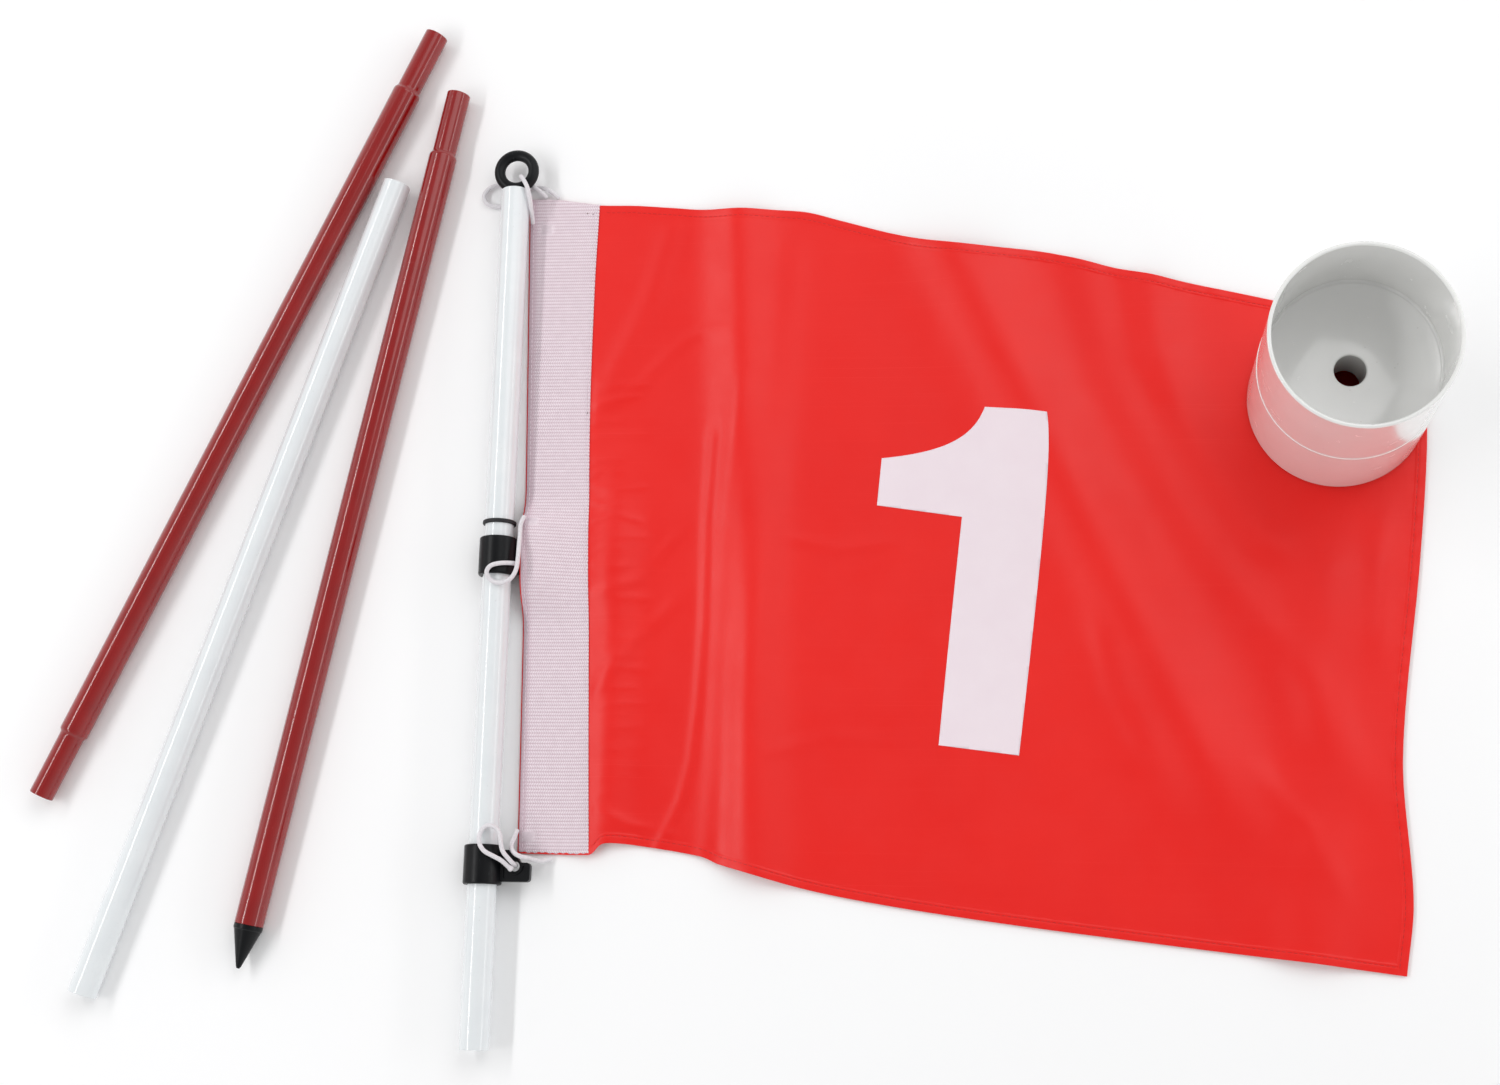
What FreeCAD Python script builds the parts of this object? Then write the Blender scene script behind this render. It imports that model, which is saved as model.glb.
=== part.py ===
import FreeCAD, Part
import math
import os

# Knock-down flagstick kit, laid out flat on a table.
# Millimetres. The table is z = 0, +Z is up, +Y runs along the top pole towards its eye.
# The origin is the middle of the kit's outline, on the table.

V = FreeCAD.Vector

# pole tube
TUBE_R = 8.0
WALL = 1.2
BORE_R = TUBE_R - WALL
SPIGOT_R = BORE_R - 0.05
SPIGOT_LEN = 36.5
SWAGE_LEN = 3.5
EDGE_BREAK = 0.3
SEAT_EXTRA = 0.25

# pole sections: tube length, middle of the tube's axis, heading from +X in degrees
TOP_POLE = {"length": 486.2, "x": -124.8, "y": -50.6, "heading": 90.0}
MIDDLE_POLE = {"length": 493.7, "x": -278.7, "y": 66.05, "heading": 65.75}
PLAIN_POLE = {"length": 491.0, "x": -271.5, "y": -34.5, "heading": 72.1}
SPIKE_POLE = {"length": 491.3, "x": -208.55, "y": 12.35, "heading": 79.13}

# ground spike and finial: both have a plug inside their tube
SPIKE_LEN = 24.0
SPIKE_COLLAR_LEN = 3.0
SPIKE_TIP_R = 1.4
PLUG_R = BORE_R + SEAT_EXTRA - 0.02
PLUG_LEN = 22.0
SEAT_LEN = PLUG_LEN + 0.5
EYE_R = 9.85
EYE_SECTION_R = 3.1
EYE_Y = 204.1

# swivel clip: a collar that the pole turns in, and a flat ear with the cord's hole
COLLAR_R = 10.5
COLLAR_H = 21.5
COLLAR_BORE_R = TUBE_R + 0.05
EAR_ROOT = 9.0
EAR_REACH = 26.6
EAR_THICK = 4.4
EAR_LOW = -9.0
EAR_SHOULDER = 8.2
EAR_NOSE = 1.4
EAR_HOLE = (18.1, -0.7)
EAR_HOLE_R = 2.8
EAR_BOSS_R = 4.3
EAR_RIM = 1.6
EAR_POCKET = 0.9
UPPER_CLIP_Y = -23.4
LOWER_CLIP_Y = -194.6
UPPER_EAR_DROOP = 16.0

# rubber stop ring, snug on the pole
STOP_BORE_R = TUBE_R + 0.02
STOP_THICK = 1.3
STOP_WIDE = 2.2
STOP_RING_Y = -4.0

# height of the axes above the table
TOP_AXIS_Z = COLLAR_R
LOOSE_AXIS_Z = TUBE_R

# cup, standing on the flag's corner
CUP_X = 337.25
CUP_Y = 65.6
CUP_FOOT_Z = 1.7
CUP_H = 113.0
CUP_R = 48.5
CUP_WALL = 2.2
SKIRT_STEP = 0.3
SKIRT_H = 55.5
DISH_EDGE_DEPTH = 51.5
DISH_ROUND = 1.6
DISH_SAG = 2.6
HOLE_DEPTH = 60.0
CUP_HOLE_R = 8.35
GUIDE_R = 10.8
GUIDE_LEN = 27.0
FLOOR_THICK = 2.4
RIB_COUNT = 6
RIB_THICK = 1.8

# flag cloth, header tape and numeral
CLOTH_THICK = 1.0
CLOTH_LIFT = 0.2
LAYER_GAP = 0.05
TAPE_THICK = 1.2
TAPE_INSET = 1.2
NUMERAL_THICK = 0.3
HOIST_EDGE = [(-187.2, -108.3), (-20.0, -112.2), (188.0, -118.8)]
TAPE_EDGE = [(-187.0, -68.3), (-130.0, -70.8), (-20.0, -75.2), (60.0, -78.2), (140.0, -78.6), (188.0, -77.6)]
FLY_EDGE = [
    (-245.0, 366.4), (-206.0, 370.8), (-132.0, 367.3), (-24.5, 379.0), (42.0, 384.5), (103.6, 384.9),
]
TOP_EDGE = [
    (-119.0, 190.0), (-53.5, 185.8), (-7.1, 181.4), (39.1, 180.4), (62.1, 174.5), (107.7, 161.2),
    (130.3, 157.2), (175.2, 153.8), (219.6, 142.6), (285.4, 127.6), (385.0, 103.6),
]
LOW_EDGE = [
    (-109.0, -187.2), (-72.0, -187.6), (-58.0, -183.0), (-40.0, -183.4), (4.1, -192.3), (47.8, -204.2),
    (91.1, -212.3), (155.3, -221.3), (239.4, -231.1), (321.9, -240.3), (366.0, -245.6),
]

# cords: braided, tied from the header to the eye and to the clips
CORD_R = 1.2
CORDS = {
    "top_cord": [
        (-101.2, 191.2, 1.6), (-106.0, 194.8, 3.4), (-110.8, 197.2, 3.2), (-116.2, 197.6, 1.4),
        (-121.6, 197.2, 1.25), (-129.0, 199.2, 1.25), (-136.8, 200.4, 1.5), (-143.2, 198.2, 2.0),
        (-146.4, 192.8, 2.4), (-143.9, 188.0, 2.0), (-138.6, 186.6, 1.4), (-132.0, 186.8, 1.25),
        (-125.0, 186.0, 1.25),
    ],
    "eye_cord": [
        (-108.4, 191.6, 1.6), (-111.6, 194.0, 5.0), (-115.2, 196.2, 6.4), (-118.6, 198.4, 5.6),
        (-121.8, 200.8, 8.0), (-121.8, 200.4, 13.6), (-119.2, 197.0, 17.2), (-116.4, 192.0, 17.4),
        (-115.2, 186.6, 15.6), (-115.0, 181.2, 12.2), (-115.0, 177.0, 8.4), (-115.3, 174.4, 4.8),
    ],
    "upper_clip_cord": [
        (-110.6, 0.2, 11.2), (-112.4, -4.4, 13.0), (-111.6, -10.2, 15.2), (-111.4, -17.4, 17.4),
        (-111.2, -25.4, 19.0), (-111.6, -33.2, 20.0), (-115.2, -38.6, 20.0), (-121.0, -40.2, 19.9),
        (-126.0, -38.6, 20.3), (-128.4, -34.6, 22.0), (-126.0, -30.6, 22.8), (-120.6, -29.2, 22.4),
        (-115.8, -28.6, 20.0), (-112.6, -28.2, 16.2),
    ],
    "lower_clip_cord": [
        (-106.5, -194.8, 10.4), (-106.6, -194.5, 14.8), (-109.0, -191.6, 18.0), (-112.2, -187.8, 19.8),
        (-113.2, -182.4, 20.2), (-114.0, -177.4, 20.0), (-117.6, -174.0, 20.2), (-122.2, -174.2, 20.4),
        (-124.8, -178.2, 20.8), (-124.6, -183.6, 22.8), (-121.6, -188.2, 22.8), (-116.8, -190.4, 22.2),
        (-112.2, -192.8, 19.2), (-109.8, -195.4, 16.2), (-107.4, -197.4, 14.1),
    ],
    "foot_cord": [
        (-108.2, -174.4, 4.2), (-109.2, -179.6, 6.6), (-109.4, -183.4, 12.4), (-107.8, -187.4, 16.0),
        (-103.8, -190.2, 15.4), (-99.8, -190.6, 11.8), (-96.4, -191.8, 7.2), (-92.4, -191.8, 3.2),
        (-88.8, -189.8, 1.4),
    ],
}


# helpers

def spin(points, axis):
    """Closed outline turned right round an axis through the origin."""
    wire = Part.makePolygon(points + [points[0]])
    return Part.Face(wire).revolve(V(0, 0, 0), axis, 360)


def circles_at(shape, radius, along, axis):
    """Round edges of one radius at one place along an axis."""
    found = []
    for edge in shape.Edges:
        if not isinstance(edge.Curve, Part.Circle):
            continue
        if abs(edge.Curve.Radius - radius) < 0.02 and abs(edge.Curve.Center.dot(axis) - along) < 0.02:
            found.append(edge)
    return found


def laid_down(shape, pole, height):
    """Put a part drawn along +Y, with its tube's middle at the origin, at its pole's place."""
    shape.rotate(V(0, 0, 0), V(0, 0, 1), pole["heading"] - 90.0)
    shape.translate(V(pole["x"], pole["y"], height))
    return shape


def smooth(points, t):
    """Smooth curve through (t, value) points, with straight ends."""
    slopes = []
    last = len(points) - 1
    for i in range(len(points)):
        before = points[max(i - 1, 0)]
        after = points[min(i + 1, last)]
        slopes.append((after[1] - before[1]) / (after[0] - before[0]))
    if t <= points[0][0]:
        return points[0][1] + slopes[0] * (t - points[0][0])
    if t >= points[last][0]:
        return points[last][1] + slopes[last] * (t - points[last][0])
    i = 0
    while t > points[i + 1][0]:
        i += 1
    span = points[i + 1][0] - points[i][0]
    s = (t - points[i][0]) / span
    near = points[i][1] * (1 + 2 * s) * (1 - s) ** 2 + slopes[i] * span * s * (1 - s) ** 2
    far = points[i + 1][1] * s * s * (3 - 2 * s) - slopes[i + 1] * span * s * s * (1 - s)
    return near + far


# pole sections

def open_end(sign, half):
    """Section of a plain tube end, from the middle of the tube outwards and back."""
    tip = sign * half
    nick = tip - sign * EDGE_BREAK
    outline = [V(TUBE_R, 0, 0), V(TUBE_R, nick, 0), V(TUBE_R - EDGE_BREAK, tip, 0)]
    outline += [V(BORE_R + EDGE_BREAK, tip, 0), V(BORE_R, nick, 0), V(BORE_R, 0, 0)]
    return [Part.makeLine(a, b) for a, b in zip(outline, outline[1:])]


def plug_end(sign, half):
    """Section of a tube end whose bore is opened out a little to seat a moulded plug."""
    tip = sign * half
    seat_r = BORE_R + SEAT_EXTRA
    foot = sign * (half - SEAT_LEN)
    nick = tip - sign * EDGE_BREAK
    outline = [V(TUBE_R, 0, 0), V(TUBE_R, nick, 0), V(TUBE_R - EDGE_BREAK, tip, 0)]
    outline += [V(seat_r, tip, 0), V(seat_r, foot, 0), V(BORE_R, foot, 0), V(BORE_R, 0, 0)]
    return [Part.makeLine(a, b) for a, b in zip(outline, outline[1:])]


def spigot_end(sign, half):
    """Section of a tube end drawn down to a spigot with a rolled lip."""
    neck_bore = SPIGOT_R - WALL
    tip = sign * half
    foot = sign * (half - SPIGOT_LEN - SWAGE_LEN)
    neck = sign * (half - SPIGOT_LEN)
    lip = sign * (half - WALL / 2)
    middle = (SPIGOT_R + neck_bore) / 2
    edges = [Part.makeLine(V(TUBE_R, 0, 0), V(TUBE_R, foot, 0))]
    edges += swage(TUBE_R, foot, SPIGOT_R, neck)
    edges.append(Part.makeLine(V(SPIGOT_R, neck, 0), V(SPIGOT_R, lip, 0)))
    edges.append(Part.Arc(V(SPIGOT_R, lip, 0), V(middle, tip, 0), V(neck_bore, lip, 0)).toShape())
    edges.append(Part.makeLine(V(neck_bore, lip, 0), V(neck_bore, neck, 0)))
    edges += swage(BORE_R, foot, neck_bore, neck)
    edges.append(Part.makeLine(V(BORE_R, foot, 0), V(BORE_R, 0, 0)))
    return edges


def swage(r0, y0, r1, y1):
    """Two tangent arcs that step down from r0 at y0 to r1 at y1."""
    drop = r0 - r1
    run = y1 - y0
    bend = (run * run + drop * drop) / (4 * drop)
    half_turn = math.asin(abs(run) / 2 / bend) / 2
    sag = bend * (1 - math.cos(half_turn))
    on = math.copysign(bend * math.sin(half_turn), run)
    centre = V((r0 + r1) / 2, (y0 + y1) / 2, 0)
    upper = Part.Arc(V(r0, y0, 0), V(r0 - sag, y0 + on, 0), centre)
    lower = Part.Arc(centre, V(r1 + sag, y1 - on, 0), V(r1, y1, 0))
    return [upper.toShape(), lower.toShape()]


def pole_tube(pole, low_end, high_end, height):
    half = pole["length"] / 2
    wire = Part.Wire(Part.__sortEdges__(high_end(1, half) + low_end(-1, half)))
    tube = Part.Face(wire).revolve(V(0, 0, 0), V(0, 1, 0), 360)
    return laid_down(tube, pole, height)


def ground_spike():
    """Cone with a short collar, and a grooved plug inside the tube."""
    collar_r = TUBE_R - 0.1
    outline = [V(0, 0, 0), V(0, -SPIKE_LEN, 0), V(SPIKE_TIP_R * 0.6, -SPIKE_LEN, 0)]
    outline += [V(SPIKE_TIP_R, 1.0 - SPIKE_LEN, 0), V(collar_r - 0.5, -SPIKE_COLLAR_LEN, 0)]
    outline += [V(collar_r, -SPIKE_COLLAR_LEN * 0.8, 0), V(collar_r, 0, 0)]
    spike = spin(outline, V(0, 1, 0))
    spike = spike.fuse(plug(1))
    spike.translate(V(0, -SPIKE_POLE["length"] / 2, 0))
    return laid_down(spike, SPIKE_POLE, LOOSE_AXIS_Z)


def plug(sign):
    """Round plug from the tube's end inwards, with a lead-in taper and two grip grooves."""
    groove = 0.5
    outline = [V(0, 0, 0), V(PLUG_R, 0, 0)]
    for k in (1, 2):
        middle = PLUG_LEN * k / 3
        outline.append(V(PLUG_R, sign * (middle - groove), 0))
        outline.append(V(PLUG_R - groove, sign * middle, 0))
        outline.append(V(PLUG_R, sign * (middle + groove), 0))
    outline.append(V(PLUG_R, sign * (PLUG_LEN - 2.0), 0))
    outline.append(V(PLUG_R - 1.2, sign * PLUG_LEN, 0))
    outline.append(V(0, sign * PLUG_LEN, 0))
    return spin(outline, V(0, 1, 0))


def eye_finial():
    """Moulded ring cut off flat where it stands on the tube's end, with its plug below."""
    tube_end = TOP_POLE["length"] / 2
    eye_up = EYE_Y - TOP_POLE["y"]
    ring = Part.makeTorus(EYE_R, EYE_SECTION_R, V(0, eye_up, 0), V(0, 0, 1))
    below = Part.makeBox(40, 40, 40, V(-20, tube_end - 40, -20))
    stem = plug(-1)
    stem.translate(V(0, tube_end, 0))
    neck = Part.makeCone(BORE_R * 0.9, EYE_SECTION_R * 0.8, 2.4, V(0, tube_end, 0), V(0, 1, 0))
    finial = ring.cut(below).fuse([stem, neck]).removeSplitter()
    return laid_down(finial, TOP_POLE, TOP_AXIS_Z)


def stop_ring():
    """Flat rubber band with rounded outer edges."""
    outer_r = STOP_BORE_R + STOP_THICK
    half = STOP_WIDE / 2
    band = Part.makeCylinder(outer_r, STOP_WIDE, V(0, -half, 0), V(0, 1, 0))
    ends = circles_at(band, outer_r, half, V(0, 1, 0)) + circles_at(band, outer_r, -half, V(0, 1, 0))
    band = band.makeFillet(STOP_THICK * 0.45, ends)
    band = band.cut(Part.makeCylinder(STOP_BORE_R, 2 * STOP_WIDE, V(0, -STOP_WIDE, 0), V(0, 1, 0)))
    band.translate(V(TOP_POLE["x"], STOP_RING_Y, TOP_AXIS_Z))
    return band


# swivel clips

def ear_outline(inset):
    """Ear's outline: a straight low side, a rounded nose and a shoulder that drops to it."""
    low = EAR_LOW + inset
    end = EAR_REACH - inset
    nose = EAR_NOSE - inset
    top = EAR_SHOULDER - inset
    corner = 2.0
    drop = Part.BezierCurve()
    drop.setPoles([V(22.0, nose, 0), V(19.4, nose, 0), V(19.8, top, 0), V(15.5, top, 0)])
    low_arc = Part.Arc(V(end - corner, low, 0), V(end - 0.59, low + 0.59, 0), V(end, low + corner, 0))
    high_arc = Part.Arc(V(end, nose - corner, 0), V(end - 0.59, nose - 0.59, 0), V(end - corner, nose, 0))
    root = EAR_ROOT + inset
    edges = [
        Part.makeLine(V(root, low, 0), V(end - corner, low, 0)),
        low_arc.toShape(),
        Part.makeLine(V(end, low + corner, 0), V(end, nose - corner, 0)),
        high_arc.toShape(),
        Part.makeLine(V(end - corner, nose, 0), V(22.0, nose, 0)),
        drop.toShape(),
        Part.makeLine(V(15.5, top, 0), V(root, top, 0)),
        Part.makeLine(V(root, top, 0), V(root, low, 0)),
    ]
    return Part.Face(Part.Wire(edges))


def swivel_clip(y, droop):
    """Collar round the pole, and the ear with a pocket and a boss round its hole on both faces."""
    half = COLLAR_H / 2
    collar = Part.makeCylinder(COLLAR_R, COLLAR_H, V(0, -half, 0), V(0, 1, 0))
    ends = circles_at(collar, COLLAR_R, half, V(0, 1, 0))
    ends += circles_at(collar, COLLAR_R, -half, V(0, 1, 0))
    collar = collar.makeFillet(1.0, ends)
    ear = ear_outline(0).extrude(V(0, 0, EAR_THICK))
    ear.translate(V(0, 0, -EAR_THICK / 2))
    hole_x, hole_y = EAR_HOLE
    for face_z in (EAR_THICK / 2 - EAR_POCKET, -EAR_THICK / 2):
        pocket = ear_outline(EAR_RIM).extrude(V(0, 0, EAR_POCKET))
        pocket.translate(V(0, 0, face_z))
        keep = Part.makeCylinder(EAR_BOSS_R, EAR_POCKET, V(hole_x, hole_y, face_z), V(0, 0, 1))
        wall = Part.makeCylinder(COLLAR_R + EAR_RIM, COLLAR_H, V(0, -half, 0), V(0, 1, 0))
        ear = ear.cut(pocket.cut(keep).cut(wall))
    clip = collar.fuse(ear)
    clip = clip.cut(Part.makeCylinder(EAR_HOLE_R, 20, V(hole_x, hole_y, -10), V(0, 0, 1)))
    clip = clip.cut(Part.makeCylinder(COLLAR_BORE_R, 2 * COLLAR_H, V(0, -COLLAR_H, 0), V(0, 1, 0)))
    mouths = circles_at(clip, COLLAR_BORE_R, half, V(0, 1, 0))
    mouths += circles_at(clip, COLLAR_BORE_R, -half, V(0, 1, 0))
    clip = clip.makeChamfer(0.5, mouths)
    clip.rotate(V(0, 0, 0), V(0, 1, 0), droop)
    clip.translate(V(TOP_POLE["x"], y, TOP_AXIS_Z))
    return clip


# cup

def dish_curve(lower):
    """Dished floor from its edge to the hole, seen in section."""
    rim = V(CUP_R - CUP_WALL - DISH_ROUND, 0, CUP_H - DISH_EDGE_DEPTH - lower)
    hole = V(CUP_HOLE_R, 0, CUP_H - HOLE_DEPTH - lower)
    middle = V((rim.x + CUP_HOLE_R) / 2, 0, (rim.z + hole.z) / 2 - DISH_SAG)
    return rim, middle, hole


def bowl_space():
    """Space inside the cup, above its floor."""
    rim, middle, hole = dish_curve(0)
    inner = CUP_R - CUP_WALL
    foot = rim.z + DISH_ROUND
    top = CUP_H + 5
    edges = [
        Part.makeLine(V(0, 0, hole.z), hole),
        Part.Arc(hole, middle, rim).toShape(),
        Part.Arc(rim, V(rim.x + 0.75 * DISH_ROUND, 0, rim.z + 0.3 * DISH_ROUND), V(inner, 0, foot)).toShape(),
        Part.makeLine(V(inner, 0, foot), V(inner, 0, top)),
        Part.makeLine(V(inner, 0, top), V(0, 0, top)),
        Part.makeLine(V(0, 0, top), V(0, 0, hole.z)),
    ]
    return Part.Face(Part.Wire(edges)).revolve(V(0, 0, 0), V(0, 0, 1), 360)


def skirt_space():
    """Space under the floor, outside the guide tube."""
    rim, middle, hole = dish_curve(FLOOR_THICK)
    inner = CUP_R - CUP_WALL
    edges = [
        Part.makeLine(V(0, 0, -5), V(0, 0, hole.z)),
        Part.makeLine(V(0, 0, hole.z), hole),
        Part.Arc(hole, middle, rim).toShape(),
        Part.makeLine(rim, V(inner, 0, rim.z)),
        Part.makeLine(V(inner, 0, rim.z), V(inner, 0, -5)),
        Part.makeLine(V(inner, 0, -5), V(0, 0, -5)),
    ]
    return Part.Face(Part.Wire(edges)).revolve(V(0, 0, 0), V(0, 0, 1), 360)


def cup_shell():
    """Cup with a dished floor, a guide tube for the pole and ribs under the floor."""
    step = SKIRT_H
    skirt_r = CUP_R + SKIRT_STEP
    body = spin([V(0, 0, 0), V(skirt_r, 0, 0), V(skirt_r, 0, step), V(CUP_R, 0, step + SKIRT_STEP),
                 V(CUP_R, 0, CUP_H), V(0, 0, CUP_H)], V(0, 0, 1))
    cup = body.cut(bowl_space()).cut(skirt_space())
    guide_low = CUP_H - HOLE_DEPTH - GUIDE_LEN
    guide_top = CUP_H - HOLE_DEPTH - 1.0
    guide = Part.makeCylinder(GUIDE_R, guide_top - guide_low, V(0, 0, guide_low), V(0, 0, 1))
    ribs = []
    reach = CUP_R - CUP_WALL / 2
    shape = [V(GUIDE_R - 1, 0, guide_low + 2), V(reach, 0, guide_low + 16)]
    shape += [V(reach, 0, CUP_H), V(GUIDE_R - 1, 0, CUP_H)]
    for k in range(RIB_COUNT):
        rib = Part.Face(Part.makePolygon(shape + [shape[0]])).extrude(V(0, RIB_THICK, 0))
        rib.translate(V(0, -RIB_THICK / 2, 0))
        rib.rotate(V(0, 0, 0), V(0, 0, 1), 360.0 * k / RIB_COUNT)
        ribs.append(rib.common(skirt_space()))
    cup = cup.fuse([guide] + ribs)
    cup = cup.cut(Part.makeCylinder(CUP_HOLE_R, 80, V(0, 0, guide_low - 10), V(0, 0, 1)))
    up = V(0, 0, 1)
    lip = circles_at(cup, CUP_R, CUP_H, up) + circles_at(cup, CUP_R - CUP_WALL, CUP_H, up)
    cup = cup.makeFillet(0.9, lip)
    cup = cup.makeFillet(0.8, circles_at(cup, CUP_HOLE_R, CUP_H - HOLE_DEPTH, up))
    cup.translate(V(CUP_X, CUP_Y, CUP_FOOT_Z))
    return cup


# flag

def fold(x, y, start, end, wide, high):
    """Height of one long soft fold of the cloth, which runs from start to end."""
    run = V(end[0] - start[0], end[1] - start[1], 0)
    here = V(x - start[0], y - start[1], 0)
    along = here.dot(run) / run.dot(run)
    across = abs(here.x * run.y - here.y * run.x) / run.Length
    past = max(0.0, -along, along - 1.0) * run.Length
    return high * math.exp(-(across / wide) ** 2 - (past / 60.0) ** 2)


def cloth_height(x, y):
    """Height of the cloth's underside above the table."""
    high = fold(x, y, (4.0, 186.0), (24.0, -195.0), 17.0, 6.0)
    high += fold(x, y, (-40.0, -60.0), (-48.0, -184.0), 11.0, 3.0)
    high += fold(x, y, (130.0, 150.0), (262.0, -130.0), 24.0, 7.5)
    high += fold(x, y, (330.0, -60.0), (318.0, -236.0), 20.0, 5.0)
    off_cup = math.hypot(x - CUP_X, y - CUP_Y) - CUP_R
    near = min(max((off_cup - 6.0) / 45.0, 0.0), 1.0)
    high *= near * near * (3 - 2 * near)
    over_ear = math.exp(-((y - UPPER_CLIP_Y) / 27.0) ** 4) * math.exp(-((x + 113.0) / 32.0) ** 2)
    return CLOTH_LIFT + high + 11.0 * over_ear


def flag_place(s, t):
    """Point of the cloth: s from hoist to fly, closest near the hoist, t from low edge to top edge."""
    hoist = smooth(HOIST_EDGE, -187.0 + 376.0 * t)
    fly = smooth(FLY_EDGE, -245.0 + 348.6 * t)
    x = hoist + s ** 1.4 * (fly - hoist)
    low = smooth(LOW_EDGE, x)
    top = smooth(TOP_EDGE, x)
    return x, low + t * (top - low)


def tape_place(s, t):
    """Point of the header tape: s across it, t up it."""
    y_guess = -187.0 + 376.0 * t
    left = smooth(HOIST_EDGE, y_guess) + TAPE_INSET
    x = left + s * (smooth(TAPE_EDGE, y_guess) - left)
    low = smooth(LOW_EDGE, x)
    top = smooth(TOP_EDGE, x)
    return x, low + t * (top - low)


def numeral_place(s, t):
    """Block of cloth that holds the numeral."""
    return 75.0 + 115.0 * s, -145.0 + 220.0 * t


def layer(place, low, high, across, up):
    """Closed sheet that follows the cloth, from low to high above its underside."""
    skins = []
    for lift in (low, high):
        grid = []
        for i in range(across + 1):
            row = []
            for j in range(up + 1):
                x, y = place(i / across, j / up)
                row.append(V(x, y, cloth_height(x, y) + lift))
            grid.append(row)
        skin = Part.BSplineSurface()
        skin.interpolate(grid)
        skins.append(skin)
    under, over = skins
    faces = [under.toShape(), over.toShape()]
    u0, u1, v0, v1 = under.bounds()
    for a, b in ((under.uIso(u0), over.uIso(u0)), (under.uIso(u1), over.uIso(u1)),
                 (under.vIso(v0), over.vIso(v0)), (under.vIso(v1), over.vIso(v1))):
        faces.append(Part.makeRuledSurface(a.toShape(), b.toShape()))
    shell = Part.makeShell(faces)
    shell.sewShape()
    sheet = Part.makeSolid(shell)
    if sheet.Volume < 0:
        sheet.reverse()
    return sheet


def flag_cloth():
    return layer(flag_place, 0.0, CLOTH_THICK, 40, 40)


def header_tape():
    base = CLOTH_THICK + LAYER_GAP
    return layer(tape_place, base, base + TAPE_THICK, 6, 40)


def numeral_patch():
    """Figure 1 with a flag and no foot."""
    def at(x, y):
        return V(x, y, -5)
    tip = Part.BezierCurve()
    tip.setPoles([at(88.0, 34.7), at(118.0, 37.5), at(138.0, 44.0), at(145.1, 62.9)])
    side = Part.BezierCurve()
    side.setPoles([at(179.4, 58.4), at(182.0, 38.0), at(180.0, 10.0), at(164.9, -131.3)])
    inner = Part.BezierCurve()
    inner.setPoles([at(121.5, -126.0), at(125.0, -84.0), at(129.0, -40.0), at(132.9, 1.0)])
    edges = [
        tip.toShape(),
        Part.makeLine(at(145.1, 62.9), at(179.4, 58.4)),
        side.toShape(),
        Part.makeLine(at(164.9, -131.3), at(121.5, -126.0)),
        inner.toShape(),
        Part.makeLine(at(132.9, 1.0), at(85.8, 7.8)),
        Part.makeLine(at(85.8, 7.8), at(88.0, 34.7)),
    ]
    prism = Part.Face(Part.Wire(edges)).extrude(V(0, 0, 60))
    base = CLOTH_THICK + LAYER_GAP
    skin = layer(numeral_place, base, base + NUMERAL_THICK, 12, 20)
    return skin.common(prism)


# cords

def cord(name, points):
    """Round cord: straight runs joined by tangent arcs as large as the runs allow."""
    route = [V(*p) for p in points]
    edges = []
    radii = []
    start = route[0]
    for a, b, c in zip(route, route[1:], route[2:]):
        back = (a - b).normalize()
        on = (c - b).normalize()
        run = min(a.distanceToPoint(b), b.distanceToPoint(c))
        half_turn = (math.pi - back.getAngle(on)) / 2
        radius = 0.45 * run / math.tan(half_turn)
        radii.append(radius)
        leave = b + back * (0.45 * run)
        meet = b + on * (0.45 * run)
        inward = (back + on).normalize()
        centre = b + inward * (radius / math.cos(half_turn))
        middle = centre - inward * radius
        edges.append(Part.LineSegment(start, leave).toShape())
        edges.append(Part.Arc(leave, middle, meet).toShape())
        start = meet
    edges.append(Part.LineSegment(start, route[-1]).toShape())
    spine = Part.Wire(edges)
    first = (route[1] - route[0]).normalize()
    section = Part.Wire(Part.makeCircle(CORD_R, route[0], first))
    tube = spine.makePipeShell([section], True, False, 2)
    expected = math.pi * CORD_R ** 2 * spine.Length
    print(name, "length", round(spine.Length, 1), "least radius", round(min(radii), 2),
          "volume over section times length", round(tube.Volume / expected, 4))
    return tube


# export

def main():
    os.makedirs("parts", exist_ok=True)
    nodes = {
        "top_pole_tube": pole_tube(TOP_POLE, open_end, plug_end, TOP_AXIS_Z),
        "eye_finial": eye_finial(),
        "stop_ring": stop_ring(),
        "upper_clip": swivel_clip(UPPER_CLIP_Y, UPPER_EAR_DROOP),
        "lower_clip": swivel_clip(LOWER_CLIP_Y, 0.0),
        "flag_cloth": flag_cloth(),
        "header_tape": header_tape(),
        "numeral_patch": numeral_patch(),
        "middle_pole_tube": pole_tube(MIDDLE_POLE, spigot_end, spigot_end, LOOSE_AXIS_Z),
        "plain_pole_tube": pole_tube(PLAIN_POLE, open_end, open_end, LOOSE_AXIS_Z),
        "spike_pole_tube": pole_tube(SPIKE_POLE, plug_end, spigot_end, LOOSE_AXIS_Z),
        "ground_spike": ground_spike(),
        "cup_shell": cup_shell(),
    }
    for name, points in CORDS.items():
        nodes[name] = cord(name, points)
    box = FreeCAD.BoundBox()
    for name, shape in nodes.items():
        shape = shape.Solids[0]
        box.add(shape.optimalBoundingBox())
        shape.exportStep("parts/" + name + ".step")
        print(name, "valid", shape.isValid(), "solids", len(shape.Solids), "mm3", round(shape.Volume, 1))
    print("outline x", round(box.XMin, 2), round(box.XMax, 2), "y", round(box.YMin, 2), round(box.YMax, 2),
          "z", round(box.ZMin, 2), round(box.ZMax, 2))


main()
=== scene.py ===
import math
import random

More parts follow.
